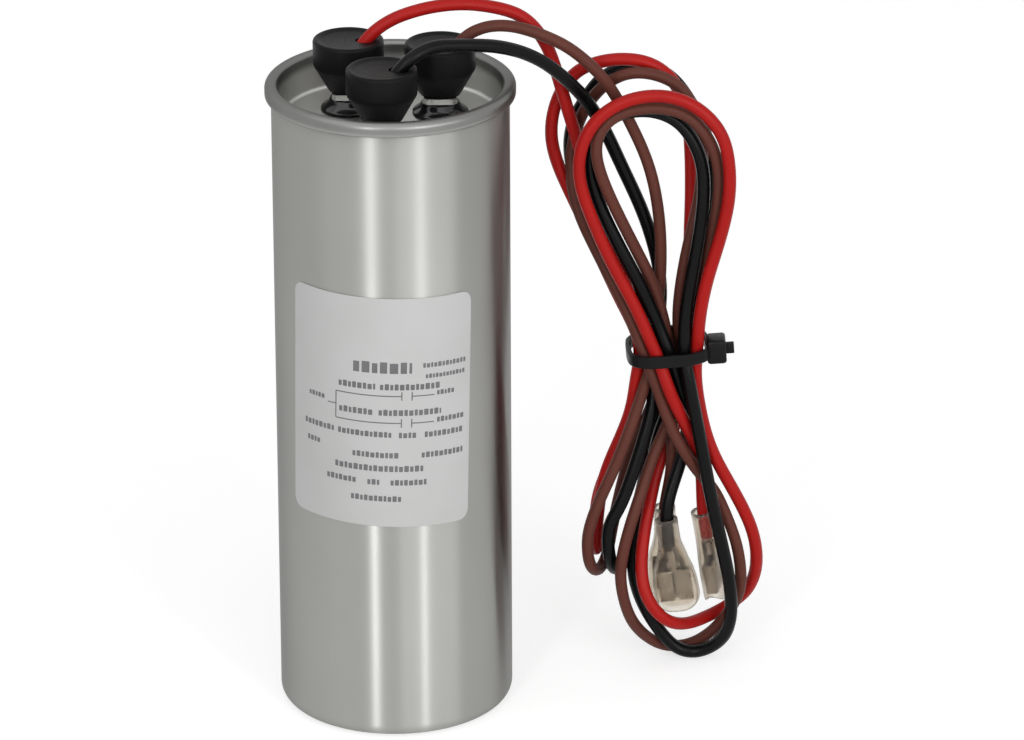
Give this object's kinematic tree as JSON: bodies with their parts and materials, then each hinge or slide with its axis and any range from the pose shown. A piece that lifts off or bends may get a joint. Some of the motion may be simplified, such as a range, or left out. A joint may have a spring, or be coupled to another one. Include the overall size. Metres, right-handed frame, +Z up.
{
  "type": "dual run capacitor",
  "caption": "Round metal-can capacitor with booted push-on terminals and a tied bundle of folded leads ending in sleeved push-on connectors",
  "frame": {"origin": "centre of the can's flat base, on the surface it stands on", "axes": "+Z up along the can's axis, -Y towards the side seen in the picture, +X towards the bundle of leads"},
  "size_m": [0.1076, 0.0565, 0.1576],
  "materials": {
    "aluminium": "satin drawn aluminium",
    "tinned_metal": "tin-plated sheet",
    "black_plastic": "glossy moulded insulator",
    "boot_vinyl": "soft satin vinyl",
    "label_sheet": "bare silver-grey sheet",
    "clear_vinyl": "translucent flexible vinyl",
    "tie_nylon": "black nylon",
    "gasket_rubber": "matt rubber",
    "metallised_film": "wound metallised film",
    "inner_plastic": "plain moulded plastic",
    "liner_film": "insulating film",
    "insulation_red": "satin wire insulation",
    "insulation_brown": "satin wire insulation",
    "insulation_black": "satin wire insulation"
  },
  "bodies": {
    "root": {"can": "aluminium", "cover": "aluminium", "seam_gasket": "gasket_rubber", "label": "label_sheet", "insulator_red": "black_plastic", "terminal_red": "tinned_metal", "flag_receptacle_red": "tinned_metal", "boot_red": "boot_vinyl", "wire_red": "insulation_red", "receptacle_red": "tinned_metal", "sleeve_red": "clear_vinyl", "insulator_brown": "black_plastic", "terminal_brown": "tinned_metal", "flag_receptacle_brown": "tinned_metal", "boot_brown": "boot_vinyl", "wire_brown": "insulation_brown", "receptacle_brown": "tinned_metal", "sleeve_brown": "clear_vinyl", "insulator_black": "black_plastic", "terminal_black": "tinned_metal", "flag_receptacle_black": "tinned_metal", "boot_black": "boot_vinyl", "wire_black": "insulation_black", "receptacle_black": "tinned_metal", "sleeve_black": "clear_vinyl", "cable_tie": "tie_nylon", "bottom_insulator": "inner_plastic", "liner": "liner_film", "winding_main": "metallised_film", "spacer": "inner_plastic", "winding_fan": "metallised_film", "mandrel": "inner_plastic", "interrupter_plate": "inner_plastic", "inner_lead_red": "tinned_metal", "inner_lead_brown": "tinned_metal", "inner_lead_black": "tinned_metal"}
  },
  "joints": []
}
